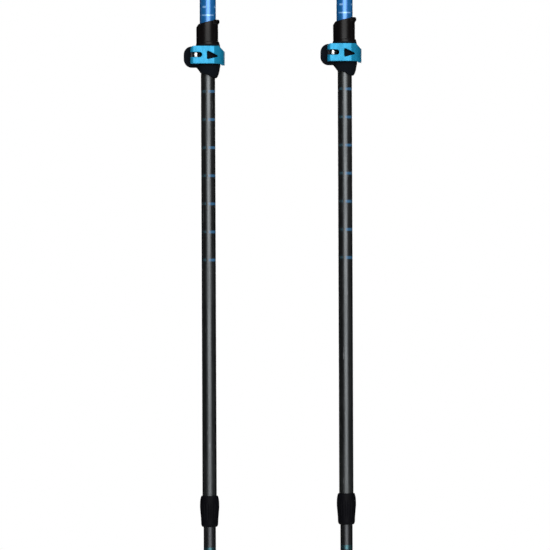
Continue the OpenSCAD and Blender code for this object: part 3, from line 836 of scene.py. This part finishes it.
def head_shell(side):
    """The loft through HEAD_STATIONS, less the strap's slot, wedge's pocket and tube's socket."""
    height, front, back, half = spline(HEAD_STATIONS, HEAD_ROWS).T[:, :, None]
    points = rounded_square(height, front, back, half, HEAD_COLUMNS)[0] * MM
    shell = surface(side + "_head_shell", points + (places[side]["x"], 0, places[side]["head_foot"]))
    pin = middle(side + "_strap_pin")
    pocket_middle = (POCKET_FRONT_MM + POCKET_BACK_MM) / 2
    half_pocket = (POCKET_BACK_MM - POCKET_FRONT_MM) / 2
    pocket_top = (places[side]["top"] - pin.z) / MM + POCKET_PAST_TOP_MM
    corners = [(y * half_pocket, z * pocket_top) for y, z in ((-1, 0), (1, 0), (1, 1), (-1, 1))]
    reach = (tube_radius(side + "_upper_shaft") + SOCKET_CLEARANCE) / MM
    turn = circle(SOCKET_COLUMNS)
    tube_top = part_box(side + "_upper_shaft")[1].z
    levels = np.array([[places[side]["head_foot"] - 0.002], [tube_top + SOCKET_CLEARANCE]]) / MM
    socket = turned_round(np.full((2, SOCKET_COLUMNS), reach), turn, levels)
    carve(shell, [
        prism("slot", strap_slot_outline(), SLOT_HALF_MM, pin),
        prism("pocket", corners, POCKET_HALF_MM, (pin.x, pocket_middle * MM, pin.z)),
        surface("socket", socket + (places[side]["x"], 0, 0)),
    ])
    return mould(shell, HEAD_VOXEL, HEAD_PASSES)


shell_finish = moulded("head_plastic", (0.009, 0.0095, 0.011, 1), (0.016, 0.0165, 0.019, 1), 0.46,
                       2600.0, 0.00006, 0.35)
for side in SIDES:
    hang(head_shell(side), "upper_sections", "grip_shell", shell_finish, side + "_grip_head")

# %% [markdown]
# The wrist strap is one loop of woven webbing round the pin. It follows a closed path: a small bend on
# the pin, two legs, and a wide bend for the wrist. The legs bow out by a hair, as webbing under no
# load does.

# %% Strap path
PIN_BEND_MM, WRIST_BEND_MM, STRAP_DROP_MM = 3.1, 24.8, 172.0
STRAP_LEAN = math.radians(12.0)
LEG_BOW_MM = 0.7


def leaned(y, z):
    """Turns y and z about the pin by STRAP_LEAN, the way the strap hangs back from the grip."""
    return (y * math.cos(STRAP_LEAN) - z * math.sin(STRAP_LEAN),
            y * math.sin(STRAP_LEAN) + z * math.cos(STRAP_LEAN))


def strap_path():
    """Points, outward directions and length so far: two arcs and their common tangents, in y and z."""
    lean = math.asin((WRIST_BEND_MM - PIN_BEND_MM) / STRAP_DROP_MM)
    leg = math.sqrt(STRAP_DROP_MM ** 2 - (WRIST_BEND_MM - PIN_BEND_MM) ** 2)
    steps = np.linspace(0, 1, 150, endpoint=False)
    top = np.linspace(lean, math.pi - lean, 18, endpoint=False)
    low = np.linspace(math.pi - lean, 2 * math.pi + lean, 110, endpoint=False)

    def arc(angles, radius, drop):
        out = np.column_stack([np.cos(angles), np.sin(angles)])
        return out * radius - (0, drop), out

    def tangent(angle, downwards):
        out = np.broadcast_to((math.cos(angle), math.sin(angle)), (len(steps), 2))
        bends = (PIN_BEND_MM, 0), (WRIST_BEND_MM, STRAP_DROP_MM)
        ends = [arc(np.array([angle]), radius, drop)[0] for radius, drop in bends]
        start, end = ends if downwards else ends[::-1]
        bow = LEG_BOW_MM * np.sin(np.pi * steps)[:, None] ** 2 * out
        return start + (end - start) * steps[:, None] + bow, out

    parts = [arc(top, PIN_BEND_MM, 0), tangent(math.pi - lean, True),
             arc(low, WRIST_BEND_MM, STRAP_DROP_MM), tangent(lean, False)]
    points, out = (np.vstack(rows) for rows in zip(*parts))
    gaps = np.linalg.norm(np.diff(points, axis=0, append=points[:1]), axis=1)
    print("strap loop is", round(float(gaps.sum())), "mm round, its legs", round(leg), "mm each")
    points, out = (np.column_stack(leaned(*rows.T)) for rows in (points, out))
    return points, out, np.concatenate([[0], np.cumsum(gaps)])


strap_points, strap_out, strap_length = strap_path()

# %% [markdown]
# The webbing is a flat ribbon with rounded edges, carried along that path. The length so far becomes
# its UV, so that the weave follows it round both bends.

# %% Webbing ribbon
WEB_HALF_MM, WEB_THICK_MM = 8.0, 1.6


def ribbon(side):
    """A flat section on each path point: x = half * c ** 0.3, off the path thickness / 2 * s ** 0.7."""
    turn = circle(28)
    across = WEB_HALF_MM * signed_power(np.cos(turn), 0.3)
    off = WEB_THICK_MM / 2 * signed_power(np.sin(turn), 0.7)
    yz = strap_points[:, None] + strap_out[:, None] * off[None, :, None]
    x = np.broadcast_to(across, yz.shape[:2])
    points = np.dstack([x, yz]) * MM + np.array(middle(side + "_strap_pin"))
    across_uv = np.append(across, across[0])
    u = np.broadcast_to(across_uv, (len(strap_length), len(across_uv)))
    v = np.broadcast_to(strap_length[:, None], u.shape)
    return surface(side + "_webbing_strap", points, ring=True, uv=np.dstack([u, v]) * MM)


# %% [markdown]
# Webbing is a plain weave: coarse warp cords run along it and fine weft yarns cross them. Two waves on
# the ribbon's UV, one across and one along, multiply into a basket of small humps. The same waves shade
# the yarns, and a third wave marks the two rows of stitching near the edges.

# %% Webbing and lining finishes


def along_uv(tree):
    """X across the piece and Y along it, both in metres."""
    along = add(tree, "UVMap", uv_map="along").outputs["UV"]
    return add(tree, "SeparateXYZ", {"Vector": along}).outputs


def make_plain_weave():
    """Weave height: cords along the piece rise where yarns across it dip, and the other way round."""
    pitches = {"Warp Pitch": 0.001, "Weft Pitch": 0.0008}
    group, given, result = effect("plain_weave", pitches, ["Height", "Warp"])
    place_uv = along_uv(group)

    def hump(value, pitch, shift):
        turns = calc(group, "ADD", calc(group, "DIVIDE", value, pitch), shift)
        return calc(group, "SINE", calc(group, "MULTIPLY", turns, 2 * math.pi))

    over = calc(group, "MULTIPLY", hump(place_uv["X"], given["Warp Pitch"], 0.0),
                hump(place_uv["Y"], given["Weft Pitch"], 0.0))
    warp = ramp(group, over, -0.5, 0.5)
    ridges = calc(group, "ABSOLUTE", hump(place_uv["X"], given["Warp Pitch"], 0.25))
    height = calc(group, "MULTIPLY_ADD", warp, 0.6, calc(group, "MULTIPLY", ridges, 0.4))
    feed(group, result, {"Height": height, "Warp": warp})
    return group


plain_weave = make_plain_weave()
STITCH_FROM_EDGE, STITCH_LENGTH, STITCH_HALF = 0.0022, 0.0030, 0.00035


def stitches(tree, half_width):
    """Mask of two rows of thread, each STITCH_FROM_EDGE inside an edge, broken into stitches."""
    where = along_uv(tree)
    from_middle = calc(tree, "ABSOLUTE", where["X"])
    row = band(tree, from_middle, half_width - STITCH_FROM_EDGE, STITCH_HALF, 0.0001)
    wave = calc(tree, "SINE", calc(tree, "MULTIPLY", where["Y"], 2 * math.pi / STITCH_LENGTH))
    dash = ramp(tree, calc(tree, "MULTIPLY_ADD", wave, 0.5, 0.5), 0.22, 0.34)
    return calc(tree, "MULTIPLY", row, dash)


def woven(name, warp_shade, weft_shade, thread, half_width, warp_pitch, weft_pitch, depth, sheen):
    """Cloth with its weave, fuzz, uneven dye and two rows of stitching."""
    material, tree, sockets = finish(name, roughness=0.8, specular=0.25, sheen=sheen)
    weave = use(tree, plain_weave, Warp_Pitch=warp_pitch, Weft_Pitch=weft_pitch)
    fuzz = noise(tree, stretched(tree, (1, 1, 1)), 5200.0, 3.0)
    rubbed = use(tree, handling, Scale=70.0)["Rubbed"]
    yarn = mix(tree, weave["Warp"], weft_shade, warp_shade)
    pale = tuple(2.2 * c for c in warp_shade[:3]) + (1,)
    faded = mix(tree, calc(tree, "MULTIPLY", rubbed, 0.35), yarn, pale)
    sewn = stitches(tree, half_width)
    feed(tree, sockets, {"Base Color": mix(tree, sewn, faded, thread)})
    height = calc(tree, "MULTIPLY_ADD", fuzz, 0.25, weave["Height"])
    link_bump(tree, sockets, calc(tree, "MULTIPLY_ADD", sewn, 0.9, height), depth, 0.9)
    return material


webbing_finish = woven("strap_webbing", (0.012, 0.013, 0.016, 1), (0.024, 0.026, 0.031, 1),
                       (0.05, 0.052, 0.058, 1), 0.008, 0.0018, 0.0013, 0.00025, 0.15)
lining_finish = woven("pad_lining", (0.032, 0.036, 0.041, 1), (0.05, 0.055, 0.062, 1),
                      (0.10, 0.11, 0.12, 1), 0.014, 0.0009, 0.0009, 0.00012, 0.35)
for side in SIDES:
    hang(ribbon(side), side + "_strap_loop", "webbing", webbing_finish, side + "_strap")

# %% [markdown]
# The pad lines the wrist bend: a strip of foam in soft lining cloth, sewn round its edge and across
# every centimetre or so, which makes it swell between the seams. It is only 3 mm thick and curls
# tightly, where a remesh for a cloth simulation would erase it, so its swelling is worked out: the
# thickness falls along the edge seams, the channels and the ends.

# %% Wrist pad
PAD_OUT_MM, PAD_THICK_MM, PAD_HALF_MM = 23.8, 2.85, 14.0
PAD_START, PAD_END = math.radians(184.5), math.radians(355.5)
CHANNEL_PITCH_MM, CHANNEL_HALF_MM, CHANNEL_DEPTH = 10.5, 1.1, 0.55
SEAM_MM, SEAM_HALF_MM, SEAM_DEPTH, CROWN = 11.8, 0.7, 0.5, 0.22


def pad_points(side):
    """A flat oval section round the wrist bend, thinned by bell-shaped dips at seams and ends."""
    bend = np.linspace(PAD_START, PAD_END, 260)[:, None]
    turn = circle(72)
    length = (bend - PAD_START) * PAD_OUT_MM
    total = (PAD_END - PAD_START) * PAD_OUT_MM
    to_end = np.minimum(length, total - length)
    end_round = np.clip(1 - (1 - np.clip(to_end / 5, 0, 1)) ** 2, 0.0, 1) ** 0.5
    across = PAD_HALF_MM * signed_power(np.cos(turn), 0.45) * (0.72 + 0.28 * end_round)
    from_channel = (length + CHANNEL_PITCH_MM / 2) % CHANNEL_PITCH_MM - CHANNEL_PITCH_MM / 2
    inside = np.clip((to_end - 4) / 3, 0, 1) * np.clip((11.3 - np.abs(across)) / 1.5, 0, 1)
    channel = CHANNEL_DEPTH * np.exp(-(from_channel / CHANNEL_HALF_MM) ** 2) * inside
    seam = SEAM_DEPTH * np.exp(-((np.abs(across) - SEAM_MM) / SEAM_HALF_MM) ** 2)
    near_edge = np.clip((np.abs(across) - 8) / 4, 0, 1)
    pucker = 0.05 * np.sin(length * 2.1 + 1.3 * np.sign(across)) * near_edge
    crown = 1 - CROWN * (across / PAD_HALF_MM) ** 4
    thick = PAD_THICK_MM * end_round * (1 - channel) * (1 - seam) * crown + pucker
    side_round = signed_power(np.sin(turn), 0.6)
    outer = PAD_OUT_MM - 0.12 * (1 - np.abs(side_round))
    reach = outer - thick * (1 - side_round) / 2
    y, z = reach * np.cos(bend), reach * np.sin(bend) - STRAP_DROP_MM
    points = np.stack([np.broadcast_to(across, y.shape), *leaned(y, z)], -1)
    u = np.broadcast_to(across, y.shape)
    u = np.hstack([u, u[:, :1]])
    uv = np.dstack([u, np.broadcast_to(length, u.shape)]) * MM
    return points * MM + np.array(middle(side + "_strap_pin")), uv


for side in SIDES:
    pad_grid, pad_uv = pad_points(side)
    pad = surface(side + "_wrist_pad", pad_grid, uv=pad_uv, sharp=60)
    hang(pad, side + "_strap_loop", "pad_fabric", lining_finish, side + "_strap_pad")

# %% [markdown]
# The twist collar is turned by hand, so its rubber skin has shallow flutes between a smooth lip and
# a smooth foot, and it is the darkest piece of all. It is a ring: a closed profile, outside up and bore
# down, carried round the pole, with the flutes taken off the outside only.

# %% Twist collar
COLLAR_PROFILE_MM = (  # reach, height
    (6.3, 0), (6.8, 0), (7.5, 0.5), (8.0, 1.5), (8.32, 2.8), (8.45, 6), (8.98, 12.5),
    (9.47, 18.5), (9.5, 21.5), (9.28, 25), (8.9, 27.8), (8.3, 29.9), (7.8, 30.5), (7.02, 30.5),
)
COLLAR_BORE_MM = ((7.02, 20), (7.02, 10), (7.02, 3.02), (6.1, 2.98), (6.1, 1.5), (6.1, 0))
COLLAR_ROWS, COLLAR_COLUMNS = 180, 288
FLUTES, FLUTE_DEPTH_MM = 18, 0.34
FLUTE_LOW_MM, FLUTE_HIGH_MM, FLUTE_FADE_MM = 6.5, 24.0, 2.5


def collar_points(side):
    """The profile turned round, less depth * |cosine of half the flutes' angle| ** 6 in the band."""
    outside = spline(COLLAR_PROFILE_MM, COLLAR_ROWS)
    reach, height = np.vstack([outside, COLLAR_BORE_MM]).T[:, :, None]
    turn = circle(COLLAR_COLUMNS)
    below = np.clip((FLUTE_HIGH_MM - height) / FLUTE_FADE_MM, 0, 1)
    above = np.clip((height - FLUTE_LOW_MM) / FLUTE_FADE_MM, 0, 1)
    on_outside = (np.arange(len(reach)) < len(outside))[:, None]
    reach = reach - FLUTE_DEPTH_MM * above * below * on_outside * np.abs(np.cos(turn * FLUTES / 2)) ** 6
    return turned_round(reach, turn, height) + (places[side]["x"], 0, places[side]["collar_foot"])


collar_finish = moulded("collar_skin", (0.0012, 0.0012, 0.0018, 1), (0.002, 0.002, 0.003, 1), 0.55,
                        specular=0.035)
for side in SIDES:
    hang(surface(side + "_fluted_collar", collar_points(side), ring=True), side + "_middle_section",
         "collar_rubber", collar_finish, side + "_twist_collar")

# %% [markdown]
# Each scale ring has its pole length printed beside it, in centimetres. Printed digits are flat
# outlines, so they start as text, become a mesh, are sliced into narrow strips and then bent: a
# distance along the line becomes an angle round the tube. They stand a fiftieth of a millimetre proud,
# which is about the thickness of the ink.

# %% Length numbers
DIGIT_SIZE, DIGIT_AZIMUTH = 0.0031, math.radians(-37)
INK_LIFT, INK_HALF, STRIP = 0.000022, 0.000008, 0.0004
LONGEST_CM, STEP_CM = 135, 5


def flat_number(text):
    """The digits as a thin mesh in the x-y plane, centred, cut every STRIP along x."""
    curve = bpy.data.curves.new("digits", "FONT")
    curve.body, curve.size, curve.extrude = text, DIGIT_SIZE, INK_HALF
    curve.align_x, curve.align_y, curve.resolution_u = "CENTER", "CENTER", 3
    holder = put("digits", curve)
    settled = final_mesh(holder)
    shape = bmesh.new()
    shape.from_mesh(settled)
    bmesh.ops.remove_doubles(shape, verts=shape.verts, dist=1e-6)
    half = max(v.co.x for v in shape.verts)
    for x in np.arange(-half + STRIP, half, STRIP):
        whole = list(shape.verts) + list(shape.edges) + list(shape.faces)
        bmesh.ops.bisect_plane(shape, geom=whole, plane_co=(x, 0, 0), plane_no=(1, 0, 0), dist=1e-7)
    shape.to_mesh(settled)
    shape.free()
    bpy.data.objects.remove(holder)
    return settled


def length_numbers(side):
    """One pole's numbers: angle = azimuth + x / radius, height = ring + y, reach = radius + lift."""
    x_axis = places[side]["x"]
    radius = tube_radius(side + "_mid_shaft")
    vertices, faces = [], []
    for k in range(SCALE_COUNT):
        flat = flat_number(str(LONGEST_CM - STEP_CM * k))
        co = np.empty(len(flat.vertices) * 3)
        flat.vertices.foreach_get("co", co)
        co = co.reshape(-1, 3)
        angle, reach = DIGIT_AZIMUTH + co[:, 0] / radius, radius + INK_LIFT + co[:, 2]
        ring = places[side]["lever_z"] - SCALE_TOP_BELOW_LEVER - k * SCALE_PITCH
        x, y = x_axis + reach * np.sin(angle), -reach * np.cos(angle)
        bent = np.column_stack([x, y, ring + co[:, 1]])
        first = sum(len(v) for v in vertices)
        faces += [[first + i for i in polygon.vertices] for polygon in flat.polygons]
        vertices.append(bent)
        bpy.data.meshes.remove(flat)
    mesh = bpy.data.meshes.new(side + "_length_numbers")
    mesh.from_pydata(np.vstack(vertices).tolist(), [], faces)
    mesh.update()
    return put(side + "_length_numbers", mesh)


ink_finish = moulded("number_ink", (0.02, 0.07, 0.10, 1), (0.03, 0.09, 0.13, 1), 0.5, 6000.0, 0.000004)
for side in SIDES:
    hang(length_numbers(side), side + "_middle_section", "black_anodised", ink_finish)
